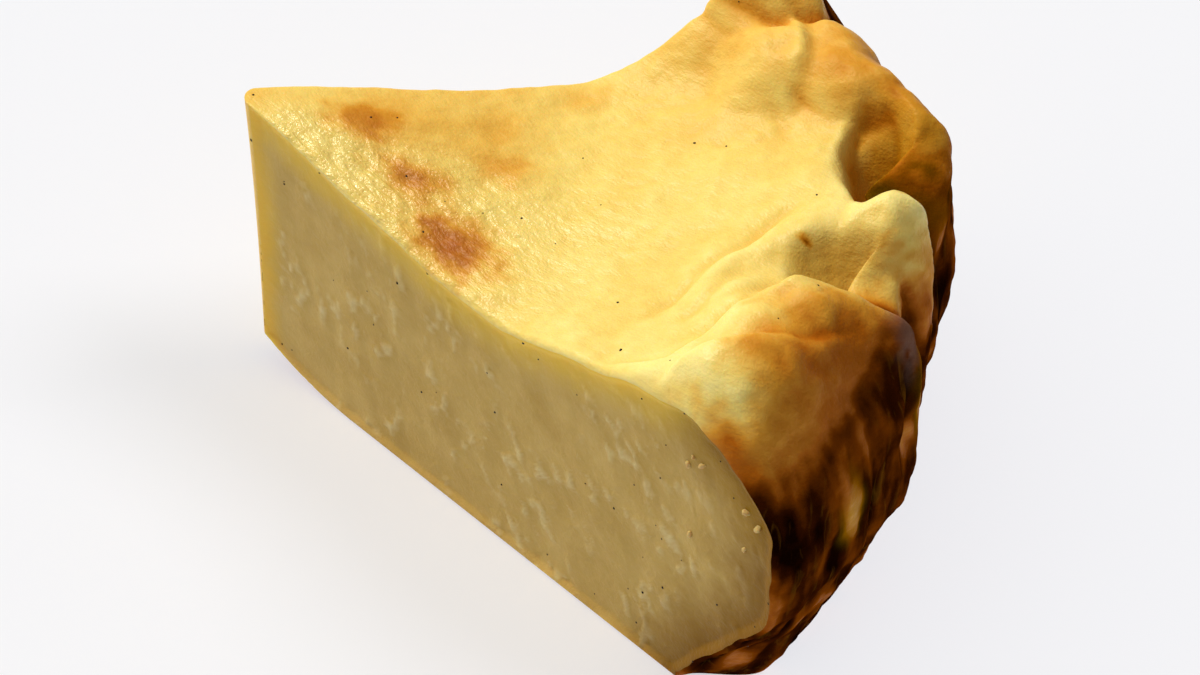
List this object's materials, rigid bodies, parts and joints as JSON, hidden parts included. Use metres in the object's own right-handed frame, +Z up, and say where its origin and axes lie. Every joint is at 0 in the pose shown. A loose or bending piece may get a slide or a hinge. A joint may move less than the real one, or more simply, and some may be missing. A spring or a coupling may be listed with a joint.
{
  "type": "basque burnt cheesecake slice",
  "caption": "Wedge of basque burnt cheesecake with a sunken glossy top, a puffed and folded browned rim, and smooth creamy cut sides.",
  "frame": {"origin": "on the flat base, on the slice's mid-line, half the tin's radius (50 mm) from the cake's axis at the tip", "axes": "+X runs along the mid-line from the tip to the crust, +Z is up, and the near cut in the picture faces -Y"},
  "size_m": [0.1, 0.095, 0.0611],
  "materials": {
    "baked_custard": "creamy baked custard, moist and matt where cut, glossy pale yellow on top and caramel to near black brown on the rim and side"
  },
  "bodies": {
    "root": {"cheesecake_slice": "baked_custard"}
  },
  "joints": []
}
